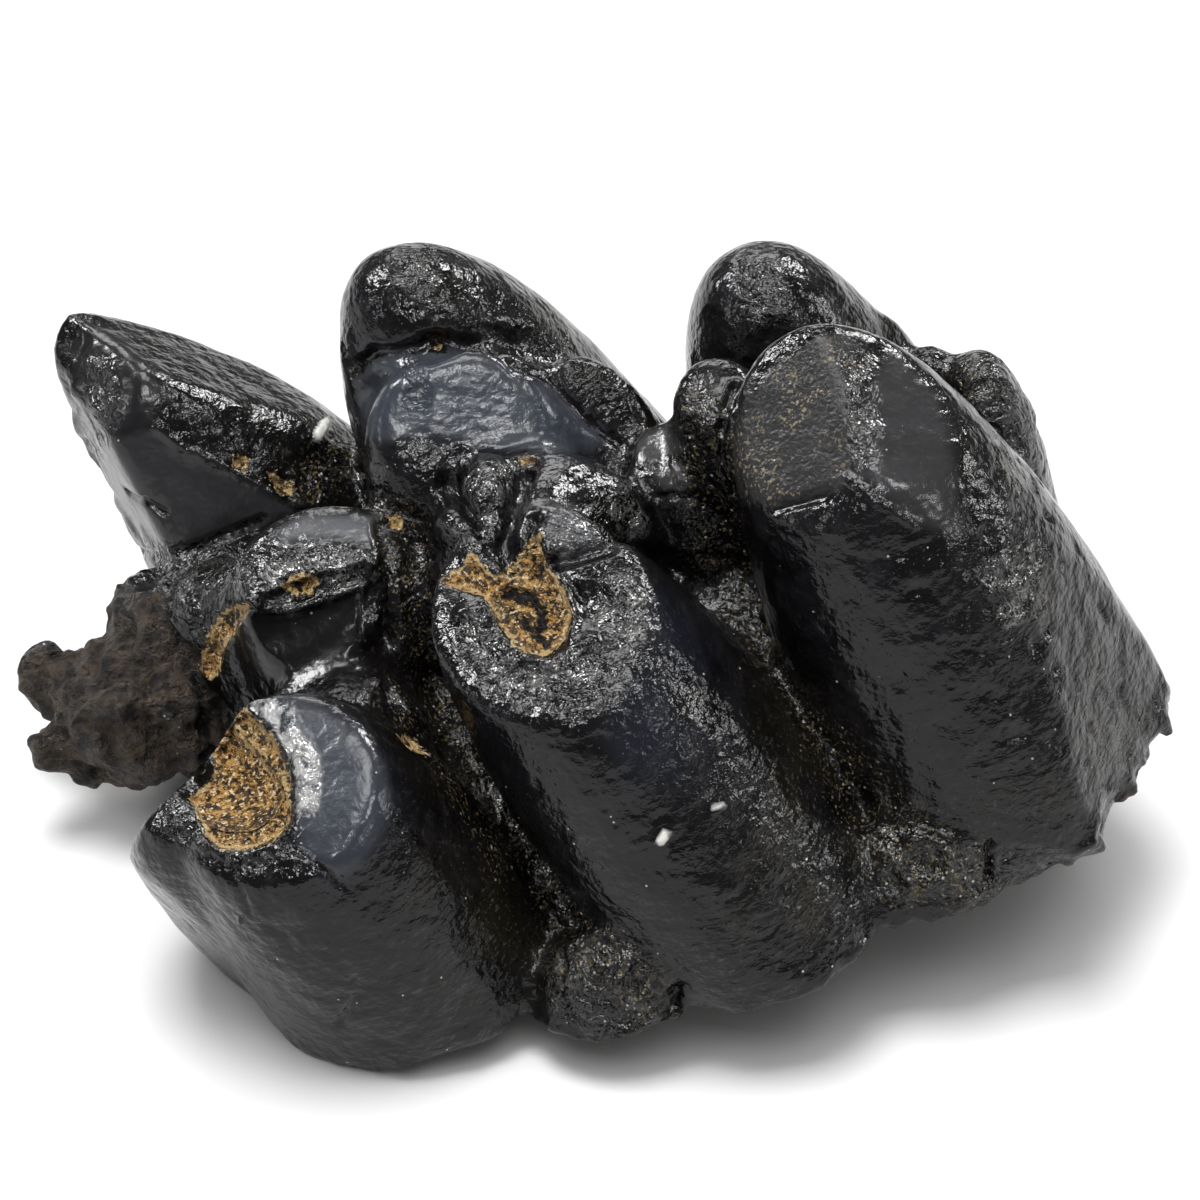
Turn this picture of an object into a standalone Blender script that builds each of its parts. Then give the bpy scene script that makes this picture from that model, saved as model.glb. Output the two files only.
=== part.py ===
"""A mastodon's second upper molar, fossil black, as it lies on a table.

The tooth is one solid. It is modelled in its own frame, in millimetres: L runs from the broken
front end to the heel, W from the near side to the far side, and H from the enamel's lower margin
up to the cusp tips. The last steps tip it to the way it lies, trim what is under the table, and
write metres.
"""

import math
from collections import namedtuple

import bmesh
import bpy
import numpy as np
from mathutils import Matrix, Vector, noise

MM = 0.001
TILT = math.radians(14.0)  # the heel end is propped up by what is left of its root
REST_HEIGHT = 9.6  # the middle of the margin over the table
BOX_MIDDLE = (-6.7, 1.6)  # middle of the tipped tooth's own box, which becomes the origin

VOXEL = 0.9
SOFTEN_PASSES = 3
TRIANGLES = 9000

ENAMEL_COLOUR = (0.022, 0.022, 0.024)
ENAMEL_ROUGHNESS = 0.28

Lobe = namedtuple("Lobe", "name foot foot_radii tip tip_radii bottom top blunt")
Groove = namedtuple("Groove", "half_width depth path")

# Cusps in rows of two, near and far, then the small cones and ledges between them.
CROWN = (
    Lobe("core", (4, 1), (50, 37), (6, 2), (46, 18), -20, 25, 2.2),
    Lobe("near_1", (-30, -19), (18, 18), (-38, -24), (13, 12.5), -20, 42, 2.6),
    Lobe("near_1_front", (-37.5, -13), (13.5, 15), (-46.5, -20), (11, 10), -20, 34.5, 2.8),
    Lobe("near_2", (6, -25), (17, 20), (-9, -15), (13, 14), -20, 50, 2.6),
    Lobe("near_3", (38, -19), (20, 21), (27.5, -12), (13, 12.5), -20, 56, 2.6),
    Lobe("far_1", (-24, 27), (22, 19), (-44, 38), (10.5, 10), -20, 55, 2.7),
    Lobe("far_2", (2, 26), (20, 20), (-9, 24), (13, 12), -20, 58, 2.4),
    Lobe("far_3", (32, 24), (15, 18), (28, 19), (11.5, 12), -20, 46.5, 2.6),
    Lobe("saddle_1", (-31, -9), (13, 12), (-31, -9), (11, 9), -10, 31, 2.8),
    Lobe("cone_1", (-26.5, 4), (12, 11), (-27, 4), (11, 8.5), -10, 42, 3.6),
    Lobe("ridge_high", (-34, 11), (10, 9), (-34, 11), (9, 8), 0, 34.5, 2.4),
    Lobe("ridge_middle", (-39, 15), (10, 9), (-39, 15), (9, 8), 0, 32, 2.4),
    Lobe("ridge_low", (-44, 19), (10, 9), (-44, 19), (9, 8), 0, 29.5, 2.4),
    Lobe("cone_2", (-4, 12), (16, 12), (-8, 12), (13, 9.5), -10, 51, 2.8),
    Lobe("cone_2_side", (6, 13), (12, 10), (4, 13), (9, 8), -10, 45, 2.8),
    Lobe("fold_2", (-4, -2), (15, 12), (-4, 0), (13, 9), -10, 43, 3.2),
    Lobe("valley_cone", (13, 3), (7, 10), (12, 3), (5, 6.5), 0, 40, 2.8),
    Lobe("cone_3", (22, 3), (9, 9), (19, 2), (6.5, 7.5), -10, 46.5, 3.0),
    Lobe("heel", (47, 10), (7, 11), (48.5, 10), (5.5, 8), -20, 30.5, 2.8),
    Lobe("heel_bead_1", (41, 20), (6, 6), (40, 20), (4, 4), 0, 33, 2.4),
    Lobe("heel_bead_2", (44, 15), (6, 6), (44, 15), (4, 4), 0, 30.5, 2.4),
    Lobe("near_bead_1", (-9, -34), (11, 8), (-9, -33), (8, 6), -12, 9, 2.6),
    Lobe("near_bead_2", (25, -32), (12, 8), (25, -32), (9, 6), -12, 9, 2.6),
)

# Chewing and breakage took planes off the cusps: a point on each, and the way that it faces.
FACETS = {
    "near_1": (((-40, -23, 34), (-0.12, -0.38, 1)), ((-44, -17, 32), (-0.6, 0.6, 0.53))),
    "near_1_front": (
        ((-40, -23, 34), (-0.12, -0.38, 1)),
        ((-49.5, -20, 6), (-0.83, -0.5, -0.22)),
        ((-44, -17, 32), (-0.45, 0.65, 0.61)),
    ),
    "near_2": (((-6, -16, 40), (0, -0.28, 1)),),
    "near_3": (
        ((22.5, -14, 48.5), (-0.34, -0.48, 0.81)),
        ((31, -18, 49), (0.36, -0.46, 0.81)),
        ((25, -27, 41), (-0.5, -0.8, 0.33)),
        ((50, -28.5, 0), (0.78, -0.63, 0.2)),
    ),
    "far_1": (
        ((-44, 37, 52), (-0.45, -0.52, 0.73)),
        ((-40, 26.5, 44), (-0.06, -0.93, 0.36)),
        ((-45.8, 29, 33), (-0.94, -0.35, 0)),
        ((-43, 40, 52), (0.66, 0.12, 0.74)),
    ),
    "cone_2": (((-8, 10.8, 47.9), (0, -0.78, 0.62)),),
    "cone_2_side": (((5, 12, 42), (0.25, -0.75, 0.6)),),
    "cone_1": (((-27, 4, 39.5), (0, -0.3, 0.95)),),
    "cone_3": (((19, 1, 44.5), (-0.15, -0.35, 0.92)), ((14, 0, 40), (-0.8, -0.5, 0.35))),
    "valley_cone": (((12, 3, 38), (0, -0.3, 1)), ((12, -2.5, 36), (0.1, -0.93, 0.35))),
}

# What is left under the margin and of the broken front end.
ROOTS = (
    Lobe("trunk", (3, 2), (43, 30), (3, 2), (46, 32), -5, 8, 4.0),
    Lobe("heel_root", (34, 10), (14, 18), (34, 10), (16, 20), -40, 6, 3.4),
    Lobe("front_root", (-28, 14), (12, 17), (-28, 14), (14, 19), -40, 6, 3.4),
    Lobe("stub", (-50, 14), (12, 12), (-52, 15), (11, 10), 11.5, 26, 3.0),
    Lobe("prong_high", (-57, 22.5), (7, 6), (-60, 22.5), (5.5, 4.2), 13, 23.5, 3.0),
    Lobe("prong_low", (-58, 11.5), (7, 5), (-60.5, 11.5), (5.5, 3.8), 15.5, 21.5, 3.0),
    Lobe("stub_back", (-48, 22), (8, 8), (-48, 22), (6, 6), 6, 29, 2.6),
)

# Hollows, as the ball that rolls through each from one point to another: worn-out dentine, the
# smooth face behind near_1, and a chip out of the margin.
HOLLOWS = (
    ((-42.5, -20, 38), (-40.5, -24, 37.5), 6.3),
    ((-8, -20, 44), (-1, -21, 44), 6.0),
    ((-30, 0, 43), (-26, 0, 43), 3.6),
    ((-34, -7.5, 37.5), (-24, -7.5, 39.5), 7.8),
    ((49, -36.5, -4), (48.5, -38.5, 5), 6.0),
)

# Creases where cusps meet and where the wear ends.
GROOVES = (
    Groove(2.0, 2.0, ((-17, 20, 26), (-19, 4, 24), (-18, -12, 19), (-14, -24, 11), (-7, -38, 1))),
    Groove(2.0, 2.0, ((15, 22, 26), (16, 4, 24), (18, -15, 15), (21, -25, 8), (30, -34, 4))),
    Groove(1.4, 1.2, ((-18, 19, 45), (-8, 15, 51), (3, 17, 46), (8, 14, 36))),
)

# The broken dentine is rough: where, and how far the lumps of each size stand out.
ROUGH_MIDDLE = (-55, 14, 18)
ROUGH_RADIUS = 14.0
ROUGH_LUMPS = ((6.0, 1.6), (2.5, 0.7))


def lobe_object(lobe):
    """A blunt cone of soft outline: a ball whose rings are moved out and along a leaning axis."""
    bm = bmesh.new()
    bmesh.ops.create_icosphere(bm, subdivisions=5, radius=1.0)
    for vertex in bm.verts:
        x, y, z = vertex.co
        ring = math.hypot(x, y)
        wide = (1 - min(1.0, abs(z)) ** lobe.blunt) ** (1 / lobe.blunt)
        height = lobe.bottom + (z + 1) / 2 * (lobe.top - lobe.bottom)
        up = min(1.0, max(0.0, height / lobe.top))
        scale = wide / ring if ring > 1e-6 else 0.0
        radii = [f + (t - f) * up for f, t in zip(lobe.foot_radii, lobe.tip_radii)]
        middle = [f + (t - f) * up for f, t in zip(lobe.foot, lobe.tip)]
        vertex.co = (
            middle[0] + x * scale * radii[0],
            middle[1] + y * scale * radii[1],
            height,
        )
    for point, normal in FACETS.get(lobe.name, ()):
        cut_flat(bm, point, normal)
    return object_of(bm, lobe.name)


def object_of(bm, name):
    mesh = bpy.data.meshes.new(name)
    bm.to_mesh(mesh)
    bm.free()
    return bpy.data.objects.new(name, mesh)


def cut_flat(bm, point, normal):
    """Takes away what is on the normal's side of a plane and closes the cut."""
    geometry = bm.verts[:] + bm.edges[:] + bm.faces[:]
    made = bmesh.ops.bisect_plane(
        bm, geom=geometry, plane_co=point, plane_no=normal, clear_outer=True
    )
    edges = [e for e in made["geom_cut"] if isinstance(e, bmesh.types.BMEdge)]
    bmesh.ops.edgenet_fill(bm, edges=edges)


def applied(obj):
    """The mesh that an object's modifiers make."""
    bpy.context.scene.collection.objects.link(obj)
    evaluated = obj.evaluated_get(bpy.context.evaluated_depsgraph_get())
    result = bpy.data.meshes.new_from_object(evaluated)
    name = obj.name
    bpy.data.objects.remove(obj)
    return bpy.data.objects.new(name, result)


def fused(objects, name, voxel, passes):
    """One soft skin round overlapping closed shapes."""
    joined = bmesh.new()
    for obj in objects:
        joined.from_mesh(obj.data)
    shell = object_of(joined, name)
    remesh = shell.modifiers.new("fuse", "REMESH")
    remesh.mode = "VOXEL"
    remesh.voxel_size = voxel
    if passes:
        soften = shell.modifiers.new("soften", "SMOOTH")
        soften.factor = 0.5
        soften.iterations = passes
    return applied(shell)


def points_of(mesh):
    points = np.empty(len(mesh.vertices) * 3, np.float32)
    mesh.vertices.foreach_get("co", points)
    return points.reshape(-1, 3).astype(np.float64)


def normals_of(mesh):
    normals = np.empty(len(mesh.vertices) * 3, np.float32)
    mesh.vertex_normals.foreach_get("vector", normals)
    return normals.reshape(-1, 3).astype(np.float64)


def set_points(mesh, points):
    mesh.vertices.foreach_set("co", points.astype(np.float32).ravel())
    mesh.update()


def fade(distance, reach):
    """1 at no distance, easing to 0 at the reach."""
    t = np.clip(distance / reach, 0, 1)
    return 1 - t * t * (3 - 2 * t)


def distance_to_path(points, path):
    path = np.array(path, float)
    nearest = np.full(len(points), np.inf)
    for start, end in zip(path[:-1], path[1:]):
        along = end - start
        t = np.clip((points - start) @ along / (along @ along), 0, 1)
        gap = np.linalg.norm(points - start - t[:, None] * along, axis=1)
        nearest = np.minimum(nearest, gap)
    return nearest


def hollow_out(mesh):
    points = points_of(mesh)
    for start, end, radius in HOLLOWS:
        along = np.subtract(end, start)
        t = np.clip((points - start) @ along / (along @ along), 0, 1)
        middle = start + t[:, None] * along
        offset = points - middle
        gap = np.linalg.norm(offset, axis=1)
        reach = np.where(gap < radius, radius / gap, 1.0)
        points = middle + offset * reach[:, None]
    set_points(mesh, points)


def crease(mesh):
    for groove in GROOVES:
        points = points_of(mesh)
        gap = distance_to_path(points, groove.path)
        sink = groove.depth * fade(gap, 2 * groove.half_width)
        set_points(mesh, points - normals_of(mesh) * sink[:, None])


def roughen(mesh):
    points = points_of(mesh)
    gap = np.linalg.norm(points - ROUGH_MIDDLE, axis=1)
    weight = fade(gap - ROUGH_RADIUS / 2, ROUGH_RADIUS / 2)
    near = np.flatnonzero(weight)
    rise = np.zeros(len(points))
    for size, height in ROUGH_LUMPS:
        for i in near:
            rise[i] += height * noise.noise(Vector(points[i] / size))
    set_points(mesh, points + normals_of(mesh) * (rise * weight)[:, None])


def tooth_body(voxel, passes):
    """The whole tooth in its own frame."""
    crown = fused([lobe_object(lobe) for lobe in CROWN], "crown", voxel, passes)
    bm = bmesh.new()
    bm.from_mesh(crown.data)
    cut_flat(bm, (0, 0, 0), (0, 0, -1))
    crown = object_of(bm, "crown")
    body = fused([crown] + [lobe_object(lobe) for lobe in ROOTS], "body", voxel, 1)
    hollow_out(body.data)
    crease(body.data)
    roughen(body.data)
    return body


def enamel():
    """Enamel and dentine turned near black by minerals, polished by handling."""
    material = bpy.data.materials.new("fossil_enamel")
    material.use_nodes = True
    shader = material.node_tree.nodes["Principled BSDF"]
    shader.inputs["Base Color"].default_value = (*ENAMEL_COLOUR, 1)
    shader.inputs["Roughness"].default_value = ENAMEL_ROUGHNESS
    return material


def thinned(obj, triangles):
    bm = bmesh.new()
    bm.from_mesh(obj.data)
    bmesh.ops.triangulate(bm, faces=bm.faces[:])
    count = len(bm.faces)
    whole = object_of(bm, obj.name)
    thin = whole.modifiers.new("thin", "DECIMATE")
    thin.ratio = triangles / count
    return applied(whole)


def laid_down(obj):
    """Tips the tooth to the way it lies, and trims it flush with the table."""
    bm = bmesh.new()
    bm.from_mesh(obj.data)
    tip = Matrix.Rotation(-TILT, 4, "Y")
    lift = Matrix.Translation((0, 0, REST_HEIGHT))
    bm.transform(lift @ tip)
    cut_flat(bm, (0, 0, 0), (0, 0, -1))
    bm.transform(Matrix.Scale(MM, 4) @ Matrix.Translation((-BOX_MIDDLE[0], -BOX_MIDDLE[1], 0)))
    return object_of(bm, obj.name)


def build():
    for old in list(bpy.data.objects):
        bpy.data.objects.remove(old)
    tooth = laid_down(thinned(tooth_body(VOXEL, SOFTEN_PASSES), TRIANGLES))
    tooth.name = "tooth"
    tooth.data.materials.append(enamel())
    home = bpy.data.collections.new("mastodon_tooth")
    bpy.context.scene.collection.children.link(home)
    home.objects.link(tooth)
    return tooth


if __name__ == "__main__":
    build()
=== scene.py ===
"""A fossil mastodon molar on a pale table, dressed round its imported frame.

The tooth is shaped as its solid is, in millimetres in its own frame: L runs from the broken front
end to the heel, W from the near side to the far side, and H up from the enamel's lower margin.
Small marks are placed by the photograph's pixel where they are seen, on a 1200 by 1200 picture.
"""

import itertools
import math
from collections import namedtuple
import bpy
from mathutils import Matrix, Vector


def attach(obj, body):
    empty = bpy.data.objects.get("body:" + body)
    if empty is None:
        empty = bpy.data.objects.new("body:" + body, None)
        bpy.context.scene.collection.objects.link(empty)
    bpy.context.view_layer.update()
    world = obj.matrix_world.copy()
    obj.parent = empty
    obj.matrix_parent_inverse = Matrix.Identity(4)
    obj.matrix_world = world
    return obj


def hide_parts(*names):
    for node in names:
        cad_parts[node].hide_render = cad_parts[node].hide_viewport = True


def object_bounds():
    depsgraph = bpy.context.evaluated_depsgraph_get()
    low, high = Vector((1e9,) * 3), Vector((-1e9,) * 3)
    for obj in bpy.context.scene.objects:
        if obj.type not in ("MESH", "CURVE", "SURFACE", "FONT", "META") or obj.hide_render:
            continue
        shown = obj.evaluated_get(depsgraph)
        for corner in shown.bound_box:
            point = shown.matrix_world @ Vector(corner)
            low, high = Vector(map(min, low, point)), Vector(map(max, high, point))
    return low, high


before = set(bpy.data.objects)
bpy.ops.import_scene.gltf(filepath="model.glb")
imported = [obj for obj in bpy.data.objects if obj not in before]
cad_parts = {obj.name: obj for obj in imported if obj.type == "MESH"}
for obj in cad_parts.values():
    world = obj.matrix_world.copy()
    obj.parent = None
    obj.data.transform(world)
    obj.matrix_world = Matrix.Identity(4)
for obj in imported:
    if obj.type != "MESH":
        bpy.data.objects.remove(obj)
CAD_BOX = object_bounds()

from types import SimpleNamespace

import bmesh
import bpy
import numpy as np
from mathutils import Matrix, Quaternion, Vector, noise
from mathutils.bvhtree import BVHTree

MM = 0.001
TILT = math.radians(14.0)
REST_HEIGHT = 9.6
BOX_MIDDLE = (-6.7, 1.6)
VOXEL = 0.9
SOFTEN_PASSES = 3
MOST_TRIANGLES = 190000
HAIR = 0.00002

PICTURE = 1200
LENS_MM = 100.8
SENSOR_MM = 36.0
CAMERA_AT = (-0.0588, -0.2855, 0.2541)
CAMERA_TILT = math.radians(52.6)
CAMERA_TURN = math.radians(-12.06)
PIXELS_PER_MM = 8.4
OUTSIDE = -3.0

Lobe = namedtuple("Lobe", "name foot foot_radii tip tip_radii bottom top blunt")
Groove = namedtuple("Groove", "half_width depth path")
Softbox = namedtuple("Softbox", "name way distance side brightness seen")

CROWN = (
    Lobe("core", (4, 1), (50, 37), (6, 2), (46, 18), -20, 25, 2.2),
    Lobe("near_1", (-30, -19), (18, 18), (-38, -24), (13, 12.5), -20, 42, 2.6),
    Lobe("near_1_front", (-37.5, -13), (13.5, 15), (-46.5, -20), (11, 10), -20, 34.5, 2.8),
    Lobe("near_2", (6, -25), (17, 20), (-9, -15), (13, 14), -20, 50, 2.6),
    Lobe("near_3", (38, -19), (20, 21), (27.5, -12), (13, 12.5), -20, 56, 2.6),
    Lobe("far_1", (-24, 27), (22, 19), (-44, 38), (10.5, 10), -20, 55, 2.7),
    Lobe("far_2", (2, 26), (20, 20), (-9, 24), (13, 12), -20, 58, 2.4),
    Lobe("far_3", (32, 24), (15, 18), (28, 19), (11.5, 12), -20, 46.5, 2.6),
    Lobe("saddle_1", (-31, -9), (13, 12), (-31, -9), (11, 9), -10, 31, 2.8),
    Lobe("cone_1", (-26.5, 4), (12, 11), (-27, 4), (11, 8.5), -10, 42, 3.6),
    Lobe("ridge_high", (-34, 11), (10, 9), (-34, 11), (9, 8), 0, 34.5, 2.4),
    Lobe("ridge_middle", (-39, 15), (10, 9), (-39, 15), (9, 8), 0, 32, 2.4),
    Lobe("ridge_low", (-44, 19), (10, 9), (-44, 19), (9, 8), 0, 29.5, 2.4),
    Lobe("cone_2", (-4, 12), (16, 12), (-8, 12), (13, 9.5), -10, 51, 2.8),
    Lobe("cone_2_side", (6, 13), (12, 10), (4, 13), (9, 8), -10, 45, 2.8),
    Lobe("fold_2", (-4, -2), (15, 12), (-4, 0), (13, 9), -10, 43, 3.2),
    Lobe("valley_cone", (13, 3), (7, 10), (12, 3), (5, 6.5), 0, 40, 2.8),
    Lobe("cone_3", (22, 3), (9, 9), (19, 2), (6.5, 7.5), -10, 46.5, 3.0),
    Lobe("heel", (47, 10), (7, 11), (48.5, 10), (5.5, 8), -20, 30.5, 2.8),
    Lobe("heel_bead_1", (41, 20), (6, 6), (40, 20), (4, 4), 0, 33, 2.4),
    Lobe("heel_bead_2", (44, 15), (6, 6), (44, 15), (4, 4), 0, 30.5, 2.4),
    Lobe("near_bead_1", (-9, -34), (11, 8), (-9, -33), (8, 6), -12, 9, 2.6),
    Lobe("near_bead_2", (25, -32), (12, 8), (25, -32), (9, 6), -12, 9, 2.6),
)

FACETS = {
    "near_1": (((-40, -23, 34), (-0.12, -0.38, 1)), ((-44, -17, 32), (-0.6, 0.6, 0.53))),
    "near_1_front": (
        ((-40, -23, 34), (-0.12, -0.38, 1)),
        ((-49.5, -20, 6), (-0.83, -0.5, -0.22)),
        ((-44, -17, 32), (-0.45, 0.65, 0.61)),
    ),
    "near_2": (((-6, -16, 40), (0, -0.28, 1)),),
    "near_3": (
        ((22.5, -14, 48.5), (-0.34, -0.48, 0.81)),
        ((31, -18, 49), (0.36, -0.46, 0.81)),
        ((25, -27, 41), (-0.5, -0.8, 0.33)),
        ((50, -28.5, 0), (0.78, -0.63, 0.2)),
    ),
    "far_1": (
        ((-44, 37, 52), (-0.45, -0.52, 0.73)),
        ((-40, 26.5, 44), (-0.06, -0.93, 0.36)),
        ((-45.8, 29, 33), (-0.94, -0.35, 0)),
        ((-43, 40, 52), (0.66, 0.12, 0.74)),
    ),
    "cone_2": (((-8, 10.8, 47.9), (0, -0.78, 0.62)),),
    "cone_2_side": (((5, 12, 42), (0.25, -0.75, 0.6)),),
    "cone_1": (((-27, 4, 39.5), (0, -0.3, 0.95)),),
    "cone_3": (((19, 1, 44.5), (-0.15, -0.35, 0.92)), ((14, 0, 40), (-0.8, -0.5, 0.35))),
    "valley_cone": (((12, 3, 38), (0, -0.3, 1)), ((12, -2.5, 36), (0.1, -0.93, 0.35))),
}

ROOTS = (
    Lobe("trunk", (3, 2), (43, 30), (3, 2), (46, 32), -5, 8, 4.0),
    Lobe("heel_root", (34, 10), (14, 18), (34, 10), (16, 20), -40, 6, 3.4),
    Lobe("front_root", (-28, 14), (12, 17), (-28, 14), (14, 19), -40, 6, 3.4),
    Lobe("stub", (-50, 14), (12, 12), (-52, 15), (11, 10), 11.5, 26, 3.0),
    Lobe("prong_high", (-57, 22.5), (7, 6), (-60, 22.5), (5.5, 4.2), 13, 23.5, 3.0),
    Lobe("prong_low", (-58, 11.5), (7, 5), (-60.5, 11.5), (5.5, 3.8), 15.5, 21.5, 3.0),
    Lobe("stub_back", (-48, 22), (8, 8), (-48, 22), (6, 6), 6, 29, 2.6),
)

HOLLOWS = (
    ((-42.5, -20, 38), (-40.5, -24, 37.5), 6.3),
    ((-8, -20, 44), (-1, -21, 44), 6.0),
    ((-30, 0, 43), (-26, 0, 43), 3.6),
    ((-34, -7.5, 37.5), (-24, -7.5, 39.5), 7.8),
    ((49, -36.5, -4), (48.5, -38.5, 5), 6.0),
)

GROOVES = (
    Groove(2.0, 2.0, ((-17, 20, 26), (-19, 4, 24), (-18, -12, 19), (-14, -24, 11), (-7, -38, 1))),
    Groove(2.0, 2.0, ((15, 22, 26), (16, 4, 24), (18, -15, 15), (21, -25, 8), (30, -34, 4))),
    Groove(1.4, 1.2, ((-18, 19, 45), (-8, 15, 51), (3, 17, 46), (8, 14, 36))),
)

ROUGH_MIDDLE = (-55, 14, 18)
ROUGH_RADIUS = 14.0
ROUGH_LUMPS = ((6.0, 1.6), (2.5, 0.7))
STUB_MIDDLE = (-54, 14, 18)
STUB_RADII = (13, 15, 12)
PITTED_MIDDLE = (44, -28, 22)

# Fine lines pressed into the surface: half width and depth in mm, and the path in pixels.
FINE_GROOVES = (
    (1.3, 2.6, ((520, 466), (515, 489), (505, 512), (499, 539), (503, 558))),
    (1.0, 1.6, ((449, 485), (463, 505), (480, 528), (492, 555))),
    (0.8, 1.0, ((417, 562), (434, 547))),
    (0.9, 1.2, ((557, 558), (580, 555), (607, 547), (634, 543), (657, 555), (676, 574))),
    (0.9, 1.2, ((538, 524), (530, 540), (522, 552))),
    (0.6, 0.7, ((552, 562), (566, 580), (580, 600))),
    (0.7, 1.1, ((342, 352), (354, 374), (372, 354), (422, 348), (436, 338), (474, 346), (518, 368))),
    (0.6, 0.6, ((518, 368), (550, 380), (582, 412), (618, 444))),
    (0.7, 1.6, ((184, 662), (196, 684), (204, 712), (212, 752), (206, 776))),
    (0.7, 1.2, ((196, 682), (220, 706), (232, 724))),
    (0.3, 0.35, ((278, 838), (299, 851), (324, 868), (347, 888))),
    (0.3, 0.35, ((230, 868), (241, 888), (249, 911))),
    (0.35, 0.6, ((168, 582), (168, 604), (166, 625))),
    (0.9, 1.6, ((384, 526), (388, 580), (390, 640), (396, 700))),
    (0.5, 0.9, ((738, 386), (728, 400), (736, 412), (722, 430))),
    (0.45, 0.7, ((733, 388), (722, 430), (722, 462), (735, 494), (776, 509), (826, 494))),
    (0.3, 1.6, ((990, 843), (989, 880), (987, 906))),
    (0.3, 1.4, ((676, 990), (680, 1030))),
    (0.35, 0.4, ((657, 497), (672, 494), (688, 497))),
    (0.4, 0.6, ((127, 492), (145, 500), (165, 513))),
    (0.5, 0.7, ((106, 560), (130, 556), (180, 552), (262, 520))),
    (0.4, 0.4, ((355, 978), (360, 993), (349, 1009), (339, 1024))),
    (0.7, 0.9, ((508, 592), (526, 600), (540, 609), (545, 624), (538, 638))),
    (0.4, 0.7, ((520, 618), (530, 628), (546, 646))),
    (0.4, 0.6, ((536, 560), (540, 580), (548, 596))),
)

# Ridges that stand out: half width and height in mm, and the path in pixels.
FINE_RIDGES = (
    (0.5, 0.9, ((250, 600), (264, 608), (300, 606), (332, 596), (362, 584))),
    (0.5, 0.8, ((362, 586), (364, 640), (376, 684))),
    (1.8, 1.5, ((482, 468), (488, 498), (494, 524))),
    (1.6, 0.9, ((445, 520), (466, 540), (488, 566))),
    (2.2, 0.9, ((540, 500), (560, 520), (548, 532))),
    (1.9, 0.9, ((620, 490), (640, 516), (650, 540))),
    (0.8, 0.9, ((462, 614), (488, 606), (502, 632), (524, 656), (556, 664), (590, 642))),
    (0.6, 0.7, ((540, 531), (554, 566), (574, 606), (572, 642))),
    (0.7, 0.7, ((480, 545), (500, 566), (524, 548))),
    (0.45, 0.5, ((157, 427), (183, 448), (230, 469), (267, 490), (304, 506))),
    (0.4, 0.4, ((846, 477), (878, 502), (914, 526))),
    (0.7, 0.7, (
        (245, 688), (286, 716), (298, 744), (304, 780), (302, 816), (276, 846), (236, 856), (200, 842),
    )),
)

# Small raised rings on the two beads where the valleys open: middle in pixels, radius, height.
RINGS = (
    ((600, 962), 3.0, 0.8), ((926, 862), 2.4, 0.8), ((568, 966), 1.8, 0.6), ((640, 980), 2.6, 0.5),
)
RING_HALF_WIDTH = 0.6

# Edges left jagged by breaking: height in mm, reach in mm and the path in pixels.
JAGGED = (
    (1.0, 4.0, ((90, 323), (76, 350), (78, 376), (72, 410), (74, 446), (98, 480), (130, 528), (158, 572))),
    (0.8, 3.0, ((1180, 670), (1172, 712), (1150, 752), (1108, 800), (1092, 848), (1060, 886))),
)

# Outlines of areas of the surface, each in pixels.
BARE_DENTINE = {
    "front_basin": (
        (218, 713), (232, 726), (258, 751), (280, 780), (291, 805), (291, 824), (274, 842), (245, 851),
        (220, 849), (205, 834), (197, 813), (189, 797), (210, 782), (216, 763), (210, 738),
    ),
    "front_wall": (
        (222, 690), (245, 708), (274, 738), (289, 768), (292, 800), (280, 780), (258, 751), (232, 726),
    ),
    "star": (
        (438, 580), (450, 572), (462, 566), (472, 551), (480, 560), (490, 572), (500, 575), (512, 566),
        (522, 552), (530, 540), (540, 531), (542, 548), (548, 566), (561, 582), (572, 612), (565, 643),
        (552, 652), (542, 658), (515, 647), (508, 636), (497, 622), (490, 608), (484, 597), (470, 592),
        (457, 589),
    ),
    "islet": ((281, 585), (293, 575), (313, 573), (321, 581), (311, 594), (293, 597)),
    "strip": (
        (256, 601), (238, 604), (220, 613), (206, 640), (197, 667), (211, 681), (220, 672), (225, 649),
        (238, 626), (247, 613),
    ),
    "fleck_1": ((234, 454), (249, 458), (245, 472), (232, 468)),
    "fleck_2": ((265, 472), (290, 480), (296, 496), (278, 492)),
    "fleck_3": ((388, 516), (402, 516), (402, 530), (390, 528)),
    "fleck_4": ((428, 336), (444, 337), (442, 349), (430, 348)),
    "fleck_5": ((518, 456), (536, 458), (532, 466), (520, 466)),
    "fleck_6": ((396, 734), (412, 738), (430, 756), (414, 752)),
}
# Dark spots in the bare dentine: middle in pixels and radius in mm, sunk and painted with shade.
DARK_ISLANDS = (((300, 585), 0.5), ((538, 516), 1.4))
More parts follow.
